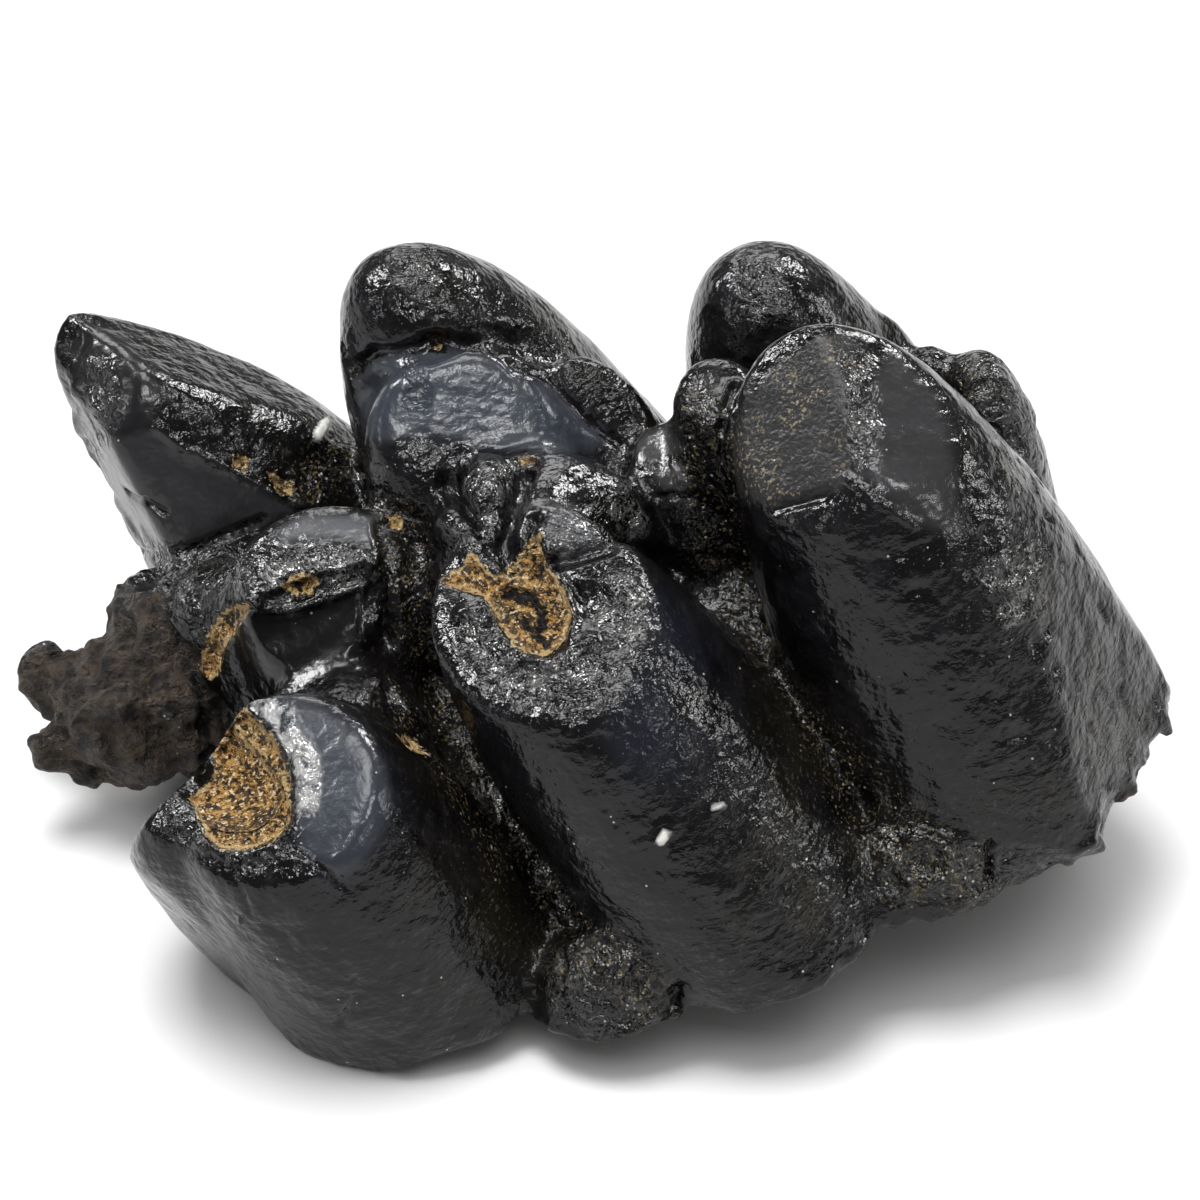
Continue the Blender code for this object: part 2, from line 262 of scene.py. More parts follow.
SILVER = {
    # Also the place of the bright streak, whose highlight is painted white.
    "streak": (
        (244, 686), (287, 705), (305, 734), (318, 772), (316, 812), (296, 812), (288, 768), (274, 736),
    ),
    "front_ring": (
        (265, 563), (284, 549), (320, 545), (356, 549), (368, 563), (363, 585), (338, 595), (311, 604),
        (284, 617), (265, 608), (261, 585),
    ),
    "crescent": (
        (461, 616), (484, 608), (497, 628), (512, 648), (545, 660), (568, 648), (590, 640), (608, 655),
        (615, 672), (607, 701), (580, 714), (545, 712), (511, 693), (484, 674), (466, 645),
    ),
    "disc": (
        (600, 581), (625, 575), (646, 593), (650, 618), (638, 639), (621, 643), (604, 631), (590, 618),
        (598, 602),
    ),
    "right_fold": ((560, 505), (622, 482), (649, 524), (638, 539), (607, 547), (561, 558), (545, 530)),
    "mid_fold": (
        (465, 470), (499, 458), (515, 466), (511, 497), (499, 528), (492, 539), (480, 512), (465, 489),
    ),
    "left_fold": ((445, 524), (465, 528), (492, 555), (499, 574), (476, 566), (457, 547)),
    "heel_patch": ((983, 560), (1034, 556), (1044, 610), (1010, 630), (984, 600)),
}
SHEEN = {
    "near_1": (
        (241, 690), (287, 693), (328, 705), (366, 730), (387, 763), (393, 801), (383, 838), (362, 868),
        (337, 880), (303, 855), (291, 826), (293, 784), (283, 743), (262, 713),
    ),
    "front_band": (
        (275, 531), (302, 515), (338, 513), (377, 517), (372, 545), (338, 538), (302, 540), (277, 549),
    ),
    "far_2": (
        (356, 376), (368, 358), (395, 349), (445, 347), (484, 353), (511, 362), (522, 378), (561, 385),
        (595, 416), (611, 439), (576, 455), (522, 451), (480, 447), (426, 435), (388, 443), (361, 435),
    ),
    "near_2_fold": ((503, 512), (545, 497), (576, 505), (607, 547), (561, 558), (538, 524)),
    "valley_top": ((630, 451), (638, 435), (672, 424), (688, 451), (645, 466)),
    "valley_front": ((645, 466), (684, 462), (695, 512), (665, 497)),
    "near_3_top": (
        (726, 449), (754, 391), (777, 363), (811, 343), (851, 334), (869, 351), (863, 391), (863, 449),
        (840, 489), (789, 506), (749, 503), (726, 477),
    ),
    "near_3_right": (
        (863, 391), (891, 346), (937, 391), (960, 477), (960, 540), (914, 523), (869, 483), (851, 477),
    ),
    "inner_cone": ((694, 386), (714, 371), (763, 374), (754, 391), (737, 409), (726, 449), (697, 431)),
    "far_1_upper": (
        (86, 322), (110, 330), (128, 338), (146, 358), (160, 380), (162, 398), (157, 427), (73, 443),
        (72, 346),
    ),
    "far_1_lower": (
        (157, 427), (183, 448), (230, 469), (267, 490), (304, 506), (260, 526), (200, 554), (159, 574),
        (140, 545), (112, 502), (96, 478), (73, 443),
    ),
    "concave": (
        (234, 622), (265, 608), (311, 604), (363, 588), (363, 635), (375, 685), (338, 685), (293, 683),
        (247, 676), (225, 663),
    ),
}
CRUMPLED = {
    "basin_rim": (
        (160, 790), (176, 800), (192, 826), (216, 850), (250, 856), (280, 848), (292, 824), (300, 836),
        (286, 858), (248, 874), (198, 862), (166, 832),
    ),
    "far_1_marks": ((84, 356), (120, 360), (122, 404), (96, 470), (88, 420)),
    "far_2_dome": ((398, 250), (436, 252), (446, 300), (420, 312), (398, 290)),
    "far_2_streak": ((399, 352), (430, 352), (424, 406), (404, 408)),
    "far_3_dome": ((738, 258), (784, 262), (796, 320), (756, 330), (738, 300)),
    "near_3_band": (
        (834, 351), (869, 351), (882, 400), (880, 460), (856, 470), (846, 430), (850, 390),
    ),
    "bead_1": ((536, 950), (600, 940), (664, 968), (660, 1030), (600, 1046), (548, 1010)),
    "bead_2": ((880, 850), (960, 842), (1060, 850), (1090, 880), (1000, 906), (890, 900)),
    "heel_top": ((960, 360), (1020, 350), (1056, 420), (1050, 490), (1000, 480), (972, 420)),
    "ridge_folds": (
        (118, 560), (150, 540), (190, 545), (250, 545), (262, 575), (235, 600), (210, 625), (196, 660),
        (176, 620), (150, 590),
    ),
}
SPECKLED = SHEEN["near_3_top"]
# Where a bluish sheen is painted into the colour.
BLUE_SHEEN_PAINTED = {
    "near_2": (
        (655, 580), (690, 620), (720, 680), (730, 720), (700, 780), (640, 790), (600, 740), (620, 700),
        (640, 660),
    ),
}
# How pale each worn face is painted, from 0 to 1: partly its own paler wear, partly a painted sheen.
PALE = {
    "near_1": 0.36, "front_band": 1.0, "far_2": 0.55, "near_3_right": 0.30, "near_3_top": 0.08,
    "valley_top": 0.35, "valley_front": 0.35, "far_1_upper": 0.12, "far_1_lower": 0.28,
    "near_2_fold": 0.55,
}
# Faces painted bluish: partly the worn faces' own blue-grey, partly a painted sheen.
BLUE = ("near_1", "far_2")

# Chips of white clay: pixel, length and width in mm, and the way that each is turned.
CHIPS = (
    ((322, 428), 3.4, 1.2, 70), ((663, 838), 2.0, 1.2, 60), ((718, 806), 1.8, 0.7, 5),
    ((241, 922), 0.9, 0.4, 90),
)

# Where wet grit fills the valleys: reach in mm and the path in pixels.
GRIT = (
    (5.0, ((398, 520), (420, 600), (436, 690), (500, 800), (560, 890), (640, 990))),
    (6.5, ((690, 420), (724, 540), (770, 640), (830, 740), (880, 830), (960, 880))),
    (4.0, ((560, 970), (620, 950), (640, 1010))),
    (4.0, ((890, 880), (950, 890))),
    (4.0, ((966, 390), (985, 420), (1010, 470))),
    (4.0, ((300, 490), (345, 450), (390, 520))),
    (5.0, ((400, 700), (450, 780), (500, 860))),
)

# Square lamps round the tooth: way to each, distance and side in m, brightness of its face, and
# whether it only lights surfaces, is only mirrored in them, or both.
SOFTBOXES = (
    Softbox("fill", (-0.1, -0.2, 1), 2.5, 2.4, 2.0, "lit"),
    Softbox("ceiling", (-0.12, 0.0, 1), 1.2, 0.48, 12.3, "both"),
    Softbox("window", (-0.55, 0.36, 0.75), 0.6, 0.14, 48, "mirrored"),
    Softbox("back", (0.05, 0.8, 0.62), 1.2, 0.5, 6.5, "both"),
    Softbox("back_right", (0.54, 0.45, 0.71), 0.9, 0.22, 45, "mirrored"),
    Softbox("left", (-0.95, -0.1, 0.45), 1.0, 0.16, 13, "mirrored"),
    Softbox("right", (0.9, -0.1, 0.40), 1.0, 0.22, 20, "mirrored"),
    Softbox("front", (-0.2, -0.6, 0.78), 0.9, 0.12, 52, "mirrored"),
    Softbox("front_right", (0.55, -0.65, 0.5), 0.9, 0.07, 45, "mirrored"),
    Softbox("front_high", (0.33, -0.38, 0.86), 0.9, 0.16, 26, "mirrored"),
)
WORLD_STRENGTH = 0.20
FLOOR_HALF_SIDE = 4
FLOOR_COLOUR = (0.93, 0.93, 0.93, 1)

# Flanks whose growth lines are coarse and catch the light: pixel, reach in mm and strength.
LINED = (
    ((600, 370), 10, 1.0), ((560, 330), 8, 1.0), ((660, 430), 6, 0.8),
    ((790, 800), 16, 0.8), ((800, 900), 12, 0.8), ((740, 960), 14, 0.6),
    ((500, 930), 14, 0.8), ((440, 900), 12, 0.4),
    ((1110, 720), 14, 1.0), ((1040, 600), 12, 0.6), ((1020, 800), 12, 0.6), ((940, 330), 12, 0.8),
    ((250, 420), 8, 0.5), ((900, 300), 8, 0.8),
)


def lobe_object(lobe):
    bm = bmesh.new()
    bmesh.ops.create_icosphere(bm, subdivisions=5, radius=1.0)
    for vertex in bm.verts:
        x, y, z = vertex.co
        ring = math.hypot(x, y)
        wide = (1 - min(1.0, abs(z)) ** lobe.blunt) ** (1 / lobe.blunt)
        height = lobe.bottom + (z + 1) / 2 * (lobe.top - lobe.bottom)
        up = min(1.0, max(0.0, height / lobe.top))
        scale = wide / ring if ring > 1e-6 else 0.0
        radii = [f + (t - f) * up for f, t in zip(lobe.foot_radii, lobe.tip_radii)]
        middle = [f + (t - f) * up for f, t in zip(lobe.foot, lobe.tip)]
        vertex.co = (
            middle[0] + x * scale * radii[0],
            middle[1] + y * scale * radii[1],
            height,
        )
    for point, normal in FACETS.get(lobe.name, ()):
        cut_flat(bm, point, normal)
    return object_of(bm, lobe.name)


def object_of(bm, name):
    mesh = bpy.data.meshes.new(name)
    bm.to_mesh(mesh)
    bm.free()
    return bpy.data.objects.new(name, mesh)


def cut_flat(bm, point, normal):
    geometry = bm.verts[:] + bm.edges[:] + bm.faces[:]
    made = bmesh.ops.bisect_plane(
        bm, geom=geometry, plane_co=point, plane_no=normal, clear_outer=True
    )
    edges = [e for e in made["geom_cut"] if isinstance(e, bmesh.types.BMEdge)]
    bmesh.ops.edgenet_fill(bm, edges=edges)


def applied(obj):
    """A new object of the mesh that the modifiers make. The old one goes."""
    bpy.context.scene.collection.objects.link(obj)
    evaluated = obj.evaluated_get(bpy.context.evaluated_depsgraph_get())
    result = bpy.data.meshes.new_from_object(evaluated)
    name = obj.name
    bpy.data.objects.remove(obj)
    return bpy.data.objects.new(name, result)


def fused(objects, name, voxel, passes):
    joined = bmesh.new()
    for obj in objects:
        joined.from_mesh(obj.data)
        bpy.data.objects.remove(obj)
    shell = object_of(joined, name)
    remesh = shell.modifiers.new("fuse", "REMESH")
    remesh.mode = "VOXEL"
    remesh.voxel_size = voxel
    soften = shell.modifiers.new("soften", "SMOOTH")
    soften.factor = 0.5
    soften.iterations = passes
    return applied(shell)


def points_of(mesh):
    points = np.empty(len(mesh.vertices) * 3, np.float32)
    mesh.vertices.foreach_get("co", points)
    return points.reshape(-1, 3).astype(np.float64)


def normals_of(mesh):
    normals = np.empty(len(mesh.vertices) * 3, np.float32)
    mesh.vertex_normals.foreach_get("vector", normals)
    return normals.reshape(-1, 3).astype(np.float64)


def set_points(mesh, points):
    mesh.vertices.foreach_set("co", points.astype(np.float32).ravel())
    mesh.update()


def fade(distance, reach):
    """1 at no distance, easing to 0 at the reach."""
    t = np.clip(distance / reach, 0, 1)
    return 1 - t * t * (3 - 2 * t)


def distance_to_path(points, path):
    path = np.array(path, float)
    nearest = np.full(len(points), np.inf)
    for start, end in zip(path[:-1], path[1:]):
        along = end - start
        t = np.clip((points - start) @ along / (along @ along), 0, 1)
        gap = np.linalg.norm(points - start - t[:, None] * along, axis=1)
        nearest = np.minimum(nearest, gap)
    return nearest


def lumps(points, size, seed=0):
    """Smooth noise from -1 to 1, with lumps of the given size, the same on every run."""
    places = points / size + 31.7 * seed
    cell = np.floor(places).astype(np.int64)
    part = places - cell
    ease = part * part * (3 - 2 * part)
    total = np.zeros(len(points))
    for corner in itertools.product((0, 1), repeat=3):
        x, y, z = (cell + corner).T
        code = (x * 73856093 ^ y * 19349663 ^ z * 83492791 ^ seed * 2654435761) & 0xFFFFFFFF
        code = (code ^ (code >> 15)) * 2246822519 & 0xFFFFFFFF
        code = (code ^ (code >> 13)) * 3266489917 & 0xFFFFFFFF
        value = (code ^ (code >> 16)) / 0x7FFFFFFF - 1
        weight = np.prod(np.where(corner, ease, 1 - ease), axis=1)
        total += value * weight
    return total


def hollow_out(mesh):
    points = points_of(mesh)
    for start, end, radius in HOLLOWS:
        along = np.subtract(end, start)
        t = np.clip((points - start) @ along / (along @ along), 0, 1)
        middle = start + t[:, None] * along
        offset = points - middle
        gap = np.linalg.norm(offset, axis=1)
        reach = np.where(gap < radius, radius / gap, 1.0)
        points = middle + offset * reach[:, None]
    set_points(mesh, points)


def press(mesh, gap, half_width, depth):
    """Sinks the surface along a line, or raises it where the depth is negative."""
    sink = depth * fade(gap, 2 * half_width)
    set_points(mesh, points_of(mesh) - normals_of(mesh) * sink[:, None])


def crease(mesh):
    for groove in GROOVES:
        gap = distance_to_path(points_of(mesh), groove.path)
        press(mesh, gap, groove.half_width, groove.depth)


def roughen(mesh):
    points = points_of(mesh)
    gap = np.linalg.norm(points - ROUGH_MIDDLE, axis=1)
    weight = fade(gap - ROUGH_RADIUS / 2, ROUGH_RADIUS / 2)
    near = np.flatnonzero(weight)
    rise = np.zeros(len(points))
    for size, height in ROUGH_LUMPS:
        for i in near:
            rise[i] += height * noise.noise(Vector(points[i] / size))
    set_points(mesh, points + normals_of(mesh) * (rise * weight)[:, None])


def tooth_body():
    crown = fused([lobe_object(lobe) for lobe in CROWN], "crown", VOXEL, SOFTEN_PASSES)
    bm = bmesh.new()
    bm.from_mesh(crown.data)
    bpy.data.objects.remove(crown)
    cut_flat(bm, (0, 0, 0), (0, 0, -1))
    crown = object_of(bm, "crown")
    return fused([crown] + [lobe_object(lobe) for lobe in ROOTS], "body", VOXEL, 1)


def finer(obj):
    """The same surface with four faces for each one."""
    divide = obj.modifiers.new("divide", "SUBSURF")
    divide.levels = divide.render_levels = 1
    return applied(obj)


LAY_DOWN = (
    Matrix.Scale(MM, 4)
    @ Matrix.Translation((-BOX_MIDDLE[0], -BOX_MIDDLE[1], REST_HEIGHT))
    @ Matrix.Rotation(-TILT, 4, "Y")
)


class Picture:
    """Finds the place on the tooth that a pixel of the photograph shows, in the tooth's frame."""

    def __init__(self, mesh):
        faces = [tuple(p.vertices) for p in mesh.polygons]
        self.tree = BVHTree.FromPolygons([v.co for v in mesh.vertices], faces)
        to_tooth = LAY_DOWN.inverted()
        self.eye = to_tooth @ Vector(CAMERA_AT)
        self.turn = to_tooth.to_3x3().normalized() @ camera_turn().to_matrix()

    def at(self, pixel):
        reach = LENS_MM / SENSOR_MM * PICTURE
        x = (pixel[0] - PICTURE / 2) / reach
        y = (PICTURE / 2 - pixel[1]) / reach
        way = (self.turn @ Vector((x, y, -1))).normalized()
        place = self.tree.ray_cast(self.eye, way)[0]
        if place is None:
            place = self.nearest_along(way)
        return np.array(place)

    def pixels(self, points):
        """Where the photograph shows the points."""
        seen = (points - np.array(self.eye)) @ np.array(self.turn)
        reach = LENS_MM / SENSOR_MM * PICTURE
        away = -seen[:, 2]
        return np.stack([seen[:, 0] / away, -seen[:, 1] / away], axis=1) * reach + PICTURE / 2

    def nearest_along(self, way):
        """The surface point closest to a ray that passes just outside the tooth."""
        steps = [self.eye + way * reach for reach in np.linspace(300, 460, 160)]
        found = [self.tree.find_nearest(step) for step in steps]
        return min(found, key=lambda hit: hit[3])[0]

    def path(self, pixels):
        return [self.at(pixel) for pixel in pixels]


def camera_turn():
    return Matrix.Rotation(CAMERA_TURN, 3, "Z").to_quaternion() @ Quaternion((1, 0, 0), CAMERA_TILT)


def press_fine_marks(mesh, picture):
    for half_width, depth, path in FINE_GROOVES:
        gap = distance_to_path(points_of(mesh), picture.path(path))
        press(mesh, gap, half_width, depth)
    for half_width, height, path in FINE_RIDGES:
        gap = distance_to_path(points_of(mesh), picture.path(path))
        press(mesh, gap, half_width, -height)
    for pixel, radius, height in RINGS:
        gap = np.abs(np.linalg.norm(points_of(mesh) - picture.at(pixel), axis=1) - radius)
        press(mesh, gap, RING_HALF_WIDTH, -height)
    for height, reach, path in JAGGED:
        points = points_of(mesh)
        near = fade(distance_to_path(points, picture.path(path)), reach)
        bites = 0.6 * lumps(points, 2.6, 21) + 0.4 * lumps(points, 1.3, 22)
        set_points(mesh, points + normals_of(mesh) * (height * bites * near)[:, None])


def near_paths(points, paths):
    mask = np.zeros(len(points))
    for reach, path in paths:
        mask = np.maximum(mask, fade(distance_to_path(points, path), reach))
    return mask


def near_spots(points, spots):
    mask = np.zeros(len(points))
    for place, reach, strength in spots:
        gap = np.linalg.norm(points - place, axis=1)
        mask = np.maximum(mask, strength * fade(gap, reach))
    return mask


def depth_inside(points, facing, outline, picture):
    """How far inside an outline each point lies, in mm: below 0 outside it."""
    corners = np.array(outline, float)
    middle = picture.at(corners.mean(axis=0))
    size = np.ptp(corners, axis=0).max() / PIXELS_PER_MM
    found = np.full(len(points), OUTSIDE)
    near = np.flatnonzero((np.linalg.norm(points - middle, axis=1) < 0.8 * size + 5) & facing)
    seen = picture.pixels(points[near])
    gap = np.full(len(near), np.inf)
    inside = np.zeros(len(near), bool)
    for start, end in zip(corners, np.roll(corners, -1, axis=0)):
        edge = end - start
        t = np.clip((seen - start) @ edge / (edge @ edge), 0, 1)
        gap = np.minimum(gap, np.linalg.norm(seen - start - t[:, None] * edge, axis=1))
        if edge[1]:
            along = start[0] + (seen[:, 1] - start[1]) * edge[0] / edge[1]
            inside ^= ((start[1] > seen[:, 1]) != (end[1] > seen[:, 1])) & (seen[:, 0] < along)
    found[near] = np.maximum(OUTSIDE, np.where(inside, gap, -gap) / PIXELS_PER_MM)
    return found


def depth_inside_any(points, facing, outlines, picture):
    found = np.full(len(points), OUTSIDE)
    for outline in outlines:
        found = np.maximum(found, depth_inside(points, facing, outline, picture))
    return found


def turned_chip(points, place, length, width, degrees, picture):
    """1 on a slim oval on the surface, turned as the photograph shows it."""
    right = picture.turn @ Vector((1, 0, 0))
    up = picture.turn @ Vector((0, 1, 0))
    angle = math.radians(degrees)
    along = np.array(right * math.cos(angle) + up * math.sin(angle))
    across = np.array(up * math.cos(angle) - right * math.sin(angle))
    offset = points - place
    gap = np.hypot(offset @ along / length, offset @ across / width)
    near = np.linalg.norm(offset, axis=1) < 2 * length
    return np.clip(4 * (1 - gap), 0, 1) * near


def masks_of(points, normals, picture):
    """What each point of the surface shows, from the photograph and from where it lies."""
    facing = np.einsum("ij,ij->i", normals, np.array(picture.eye) - points) > 0
    dentine = depth_inside_any(points, facing, BARE_DENTINE.values(), picture)
    # Areas painted bluish: partly the worn faces' own tone, partly a painted sheen.
    blue = [SHEEN[name] for name in BLUE] + list(BLUE_SHEEN_PAINTED.values())
    # How pale each worn face is painted: partly its wear, partly a painted sheen.
    pale = np.zeros(len(points))
    for name, strength in PALE.items():
        depth = depth_inside(points, facing, SHEEN[name], picture)
        pale = np.maximum(pale, strength * rising(depth, -0.5, 0.9))
    broken = np.linalg.norm((points - STUB_MIDDLE) / STUB_RADII, axis=1)
    stub = np.clip((1.12 + 0.15 * lumps(points, 4, 5) - broken) / 0.12, 0, 1)
    under = np.clip((0.6 + 0.8 * lumps(points, 3, 6) - points[:, 2]) / 0.8, 0, 1)
    chips = np.zeros(len(points))
    for pixel, length, width, degrees in CHIPS:
        chip = turned_chip(points, picture.at(pixel), length / 2, width / 2, degrees, picture)
        chips = np.maximum(chips, chip)
    cracks = [(1.6 * w, picture.path(path)) for w, d, path in FINE_GROOVES if w < 0.8]
    islands = [(picture.at(pixel), 2.0 * radius, 1.0) for pixel, radius in DARK_ISLANDS]
    away = np.clip((normals[:, 0] + 0.1) / 0.6, 0, 1)
    behind = np.clip((normals[:, 1] - 0.1) / 0.5, 0, 1)
    spots = [(picture.at(pixel), reach, strength) for pixel, reach, strength in LINED]
    lined = np.maximum(near_spots(points, spots), 0.6 * behind)
    return {
        "dentine": dentine,
        "silver": depth_inside_any(points, facing, SILVER.values(), picture),
        "crumpled": depth_inside_any(points, facing, CRUMPLED.values(), picture),
        # Where the streak's highlight is painted into the colour.
        "streak": depth_inside(points, facing, SILVER["streak"], picture),
        "speckled": depth_inside(points, facing, SPECKLED, picture),
        "sheen": depth_inside_any(points, facing, SHEEN.values(), picture),
        "pale": pale,
        "blue": depth_inside_any(points, facing, blue, picture) * 0.6,
        "stub": np.maximum(stub, under),
        "grit": near_paths(points, [(r, picture.path(p)) for r, p in GRIT]),
        "crack": np.maximum(near_paths(points, cracks), near_spots(points, islands)),
        "chip": chips,
        "lined": np.maximum(lined, 0.25 * away),
    }


def rising(value, low, high):
    """0 below low and 1 above high, with a smooth step between."""
    t = np.clip((value - low) / (high - low), 0, 1)
    return t * t * (3 - 2 * t)


def chunks(points, size, seed):
    """Noise with flat tops and steep sides, as on a break."""
    warped = points + 0.35 * size * np.stack([lumps(points, size, seed + i) for i in (1, 2, 3)], axis=1)
    return np.tanh(4 * lumps(warped, size, seed))


def work_surface(mesh, masks):
    """The small unevenness of each kind of surface: heights in mm, times lumps of a size in mm."""
    points = points_of(mesh)
    dentine = rising(masks["dentine"], -0.2, 0.8)
    crumpled = np.maximum(masks["silver"], masks["crumpled"])
    silver = rising(crumpled, -0.5, 1.2) * (1 - dentine)
    calm = 1 - 0.8 * rising(masks["sheen"], -0.6, 1.2)
    bare = (1 - masks["stub"]) * (1 - dentine)
    rise = 0.22 * lumps(points, 9, 1) * calm + 0.10 * lumps(points, 3.4, 2) * bare * calm
    rise += 0.06 * lumps(points, 1.9, 14) * bare * (0.3 + masks["lined"])
    rise += (0.22 * lumps(points, 2.4, 15) + 0.16 * lumps(points, 1.3, 7)) * silver
    rise += 0.30 * lumps(points, 1.5, 8) * masks["grit"] * bare
    rise += (-0.8 + 1.0 * chunks(points, 5.5, 30) + 0.5 * chunks(points, 2.4, 40)) * masks["stub"]
    rise += 0.40 * lumps(points, 1.1, 10) * masks["stub"]
    rise += -0.9 * dentine + 0.35 * lumps(points, 1.2, 11) * dentine - 0.8 * masks["crack"] * dentine
    rise += 0.35 * masks["chip"]
    flank = fade(np.linalg.norm(points - PITTED_MIDDLE, axis=1) - 12, 16) * bare
    pits = (0.22 * flank + 0.10 * bare) * calm
    rise -= pits * np.clip(lumps(points, 1.8, 12) - 0.5, 0, 0.3) / 0.3
    margin = np.clip(1 - np.abs(points[:, 2] - 1) / 4, 0, 1)
    rise += 0.5 * lumps(points, 2.6, 13) * margin
    set_points(mesh, points + normals_of(mesh) * rise[:, None])


def keep_masks(mesh, masks):
    for name, values in masks.items():
        layer = mesh.attributes.new(name, "FLOAT", "POINT")
        layer.data.foreach_set("value", values.astype(np.float32))


def thinned(obj, triangles):
    bm = bmesh.new()
    bm.from_mesh(obj.data)
    bmesh.ops.triangulate(bm, faces=bm.faces[:])
    bm.to_mesh(obj.data)
    count = len(bm.faces)
    bm.free()
    thin = obj.modifiers.new("thin", "DECIMATE")
    thin.ratio = min(1.0, triangles / count)
    return applied(obj)


def within_box(obj):
    """Trims the hair's breadth by which lumps stand out of the frame's box."""
    low, high = (np.array(corner) for corner in CAD_BOX)
    points = np.clip(points_of(obj.data), low + HAIR, high - HAIR)
    points[points_of(obj.data)[:, 2] < HAIR, 2] = 0.0
    set_points(obj.data, points)


def laid_down(obj, name):
    """The tooth as it lies, trimmed flush with the table."""
    bm = bmesh.new()
    bm.from_mesh(obj.data)
    bm.transform(LAY_DOWN)
    cut_flat(bm, (0, 0, 0), (0, 0, -1))
    for face in bm.faces:
        face.smooth = face.normal.z > -0.999
    done = object_of(bm, name)
    bpy.data.objects.remove(obj)
    return done


class Nodes:
    """Short names for making and joining shader nodes."""

    def __init__(self, material):
        material.use_nodes = True
        self.tree = material.node_tree
        self.shader = self.tree.nodes["Principled BSDF"]

    def new(self, kind, **inputs):
        node = self.tree.nodes.new(kind)
        for name, value in inputs.items():
            self.put(node.inputs[name.replace("_", " ")], value)
        return node

    def put(self, socket, value):
        if isinstance(value, bpy.types.NodeSocket):
            self.tree.links.new(value, socket)
        else:
            socket.default_value = value

    def attribute(self, name):
        node = self.tree.nodes.new("ShaderNodeAttribute")
        node.attribute_name = name
        return node.outputs["Fac"]

    def upright(self):
        """Places on the object turned so that the third of them runs up the tooth's own axis."""
        place = self.tree.nodes.new("ShaderNodeTexCoord").outputs["Object"]
        along = self.vector("DOT_PRODUCT", place, (math.cos(TILT), 0, math.sin(TILT)), "Value")
        up = self.vector("DOT_PRODUCT", place, (-math.sin(TILT), 0, math.cos(TILT)), "Value")
        across = self.new("ShaderNodeSeparateXYZ", Vector=place).outputs["Y"]
        return self.new("ShaderNodeCombineXYZ", X=along, Y=across, Z=up).outputs[0]

    def vector(self, operation, a, b, output="Vector"):
        node = self.tree.nodes.new("ShaderNodeVectorMath")
        node.operation = operation
        self.put(node.inputs[0], a)
        self.put(node.inputs[1], b)
        return node.outputs[output]

    def math(self, operation, a, b=0.0, c=0.0):
        node = self.tree.nodes.new("ShaderNodeMath")
        node.operation = operation
        for socket, value in zip(node.inputs, (a, b, c)):
            self.put(socket, value)
        return node.outputs[0]

    def swayed(self, amount_mm, size_mm):
        """The places moved about by noise, so that what is drawn on them bends."""
        bend = self.new("ShaderNodeTexNoise", Vector=self.place)
        bend.inputs["Scale"].default_value = 1 / (size_mm * MM)
        bend.inputs["Detail"].default_value = 0.0
        shift = self.tree.nodes.new("ShaderNodeVectorMath")
        shift.operation = "MULTIPLY_ADD"
        self.put(shift.inputs[0], bend.outputs["Color"])
        shift.inputs[1].default_value = [amount_mm * MM] * 3
        self.put(shift.inputs[2], self.place)
        return shift.outputs[0]

    def ridge(self, value, width):
        """1 along the thin winding lines where noise crosses its middle value."""
        return self.rim(self.math("SUBTRACT", value, 0.5), width)

    def rim(self, depth, width):
        """1 along the line where a depth crosses 0."""
        return self.step(self.math("ABSOLUTE", depth), width, width * 0.3)

    def edge(self, depth, wander, softness):
        """1 inside an area, with an edge that wanders by so many mm."""
        return self.step(self.math("ADD", depth, wander), -softness, softness)

    def mixed(self, factor, a, b):
        node = self.tree.nodes.new("ShaderNodeMix")
        node.data_type = "RGBA"
        self.put(node.inputs["Factor"], factor)
        self.put(node.inputs["A"], a)
        self.put(node.inputs["B"], b)
        return node.outputs["Result"]

    def blended(self, factor, a, b):
        node = self.tree.nodes.new("ShaderNodeMix")
        node.data_type = "FLOAT"
        self.put(node.inputs["Factor"], factor)
        self.put(node.inputs["A"], a)
        self.put(node.inputs["B"], b)
        return node.outputs["Result"]

    def grain(self, size_mm, detail=3.0, roughness=0.55, stretch=(1, 1, 1)):
        """Noise whose lumps are about the given size."""
        place = self.place if stretch == (1, 1, 1) else self.vector("MULTIPLY", self.place, stretch)
        noise_node = self.new("ShaderNodeTexNoise", Vector=place)
        noise_node.inputs["Scale"].default_value = 1 / (size_mm * MM)
        noise_node.inputs["Detail"].default_value = detail
        noise_node.inputs["Roughness"].default_value = roughness
        return noise_node.outputs["Fac"]

    def specks(self, spacing_mm, size):
        """1 on small round grains, as wide as the given part of their spacing."""
        cells = self.new("ShaderNodeTexVoronoi", Vector=self.place)
        cells.inputs["Scale"].default_value = 1 / (spacing_mm * MM)
        chosen = self.step(cells.outputs["Color"], 0.50, 0.52)
        wobble = self.math("MULTIPLY_ADD", self.grain(0.3, 0), 0.06, -0.03)
        away = self.math("ADD", cells.outputs["Distance"], wobble)
        return self.math("MULTIPLY", chosen, self.step(away, size * 1.4, size))

    def step(self, value, low, high):
        """0 below low, 1 above high."""
        node = self.tree.nodes.new("ShaderNodeMapRange")
        node.interpolation_type = "SMOOTHSTEP"
        self.put(node.inputs["Value"], value)
        node.inputs["From Min"].default_value = low
        node.inputs["From Max"].default_value = high
        return node.outputs["Result"]

    def bump(self, height, distance_mm, strength, below=None):
        node = self.new("ShaderNodeBump", Height=height)
        node.inputs["Distance"].default_value = distance_mm * MM
        self.put(node.inputs["Strength"], strength)
        if below is not None:
            self.put(node.inputs["Normal"], below)
        return node.outputs["Normal"]


def rgb(red, green, blue):
    return (red, green, blue, 1.0)


